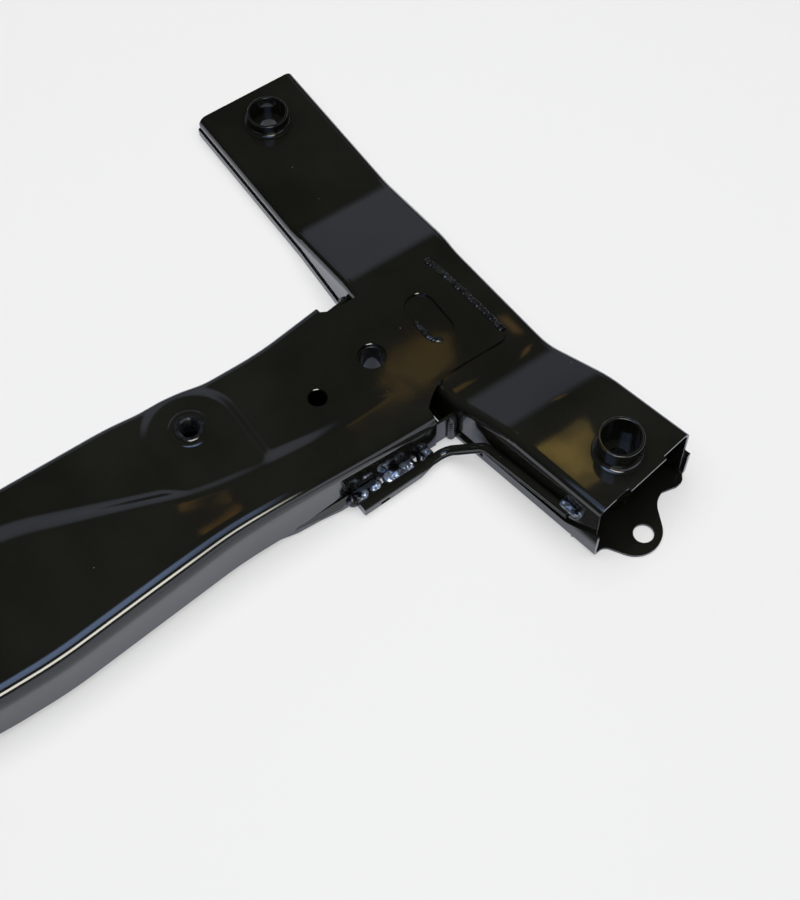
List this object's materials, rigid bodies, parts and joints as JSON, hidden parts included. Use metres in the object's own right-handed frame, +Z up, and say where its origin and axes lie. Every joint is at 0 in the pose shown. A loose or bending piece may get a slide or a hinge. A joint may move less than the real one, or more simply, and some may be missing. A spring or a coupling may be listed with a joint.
{
  "type": "subframe",
  "caption": "Pressed and welded front subframe: cross member lapped over two hollow side rails, with mount collars, ears and bent brace rods.",
  "frame": {"origin": "middle of the underside's bounding box, on the centre plane between the rails", "axes": "+X across the vehicle towards the pictured rail, +Y towards the rear, +Z up"},
  "size_m": [0.942, 0.5023, 0.078],
  "materials": {
    "black_paint": "gloss black electrocoat",
    "painted_weld": "gloss black over rippled weld",
    "bare_rim_steel": "gloss black",
    "thread_steel": "thread with thin paint"
  },
  "bodies": {
    "root": {"crossmember_upper_shell": "black_paint", "crossmember_lower_shell": "black_paint", "rail_upper_shell_right": "black_paint", "rail_upper_shell_left": "black_paint", "rail_lower_shell_right": "black_paint", "rail_lower_shell_left": "black_paint", "front_mount_sleeve_right": "bare_rim_steel", "front_mount_sleeve_left": "bare_rim_steel", "rear_mount_sleeve_right": "bare_rim_steel", "rear_mount_sleeve_left": "bare_rim_steel", "threaded_insert_right": "thread_steel", "threaded_insert_left": "thread_steel", "spacer_tube_right": "black_paint", "spacer_tube_left": "black_paint", "brace_rod_right": "black_paint", "brace_rod_left": "black_paint", "lap_weld_right": "painted_weld", "lap_weld_left": "painted_weld", "slot_weld_right": "painted_weld", "slot_weld_left": "painted_weld", "brace_weld_right": "painted_weld", "brace_weld_left": "painted_weld", "brace_tip_weld_right": "painted_weld", "brace_tip_weld_left": "painted_weld", "joint_weld_right": "painted_weld", "joint_weld_left": "painted_weld"}
  },
  "joints": []
}
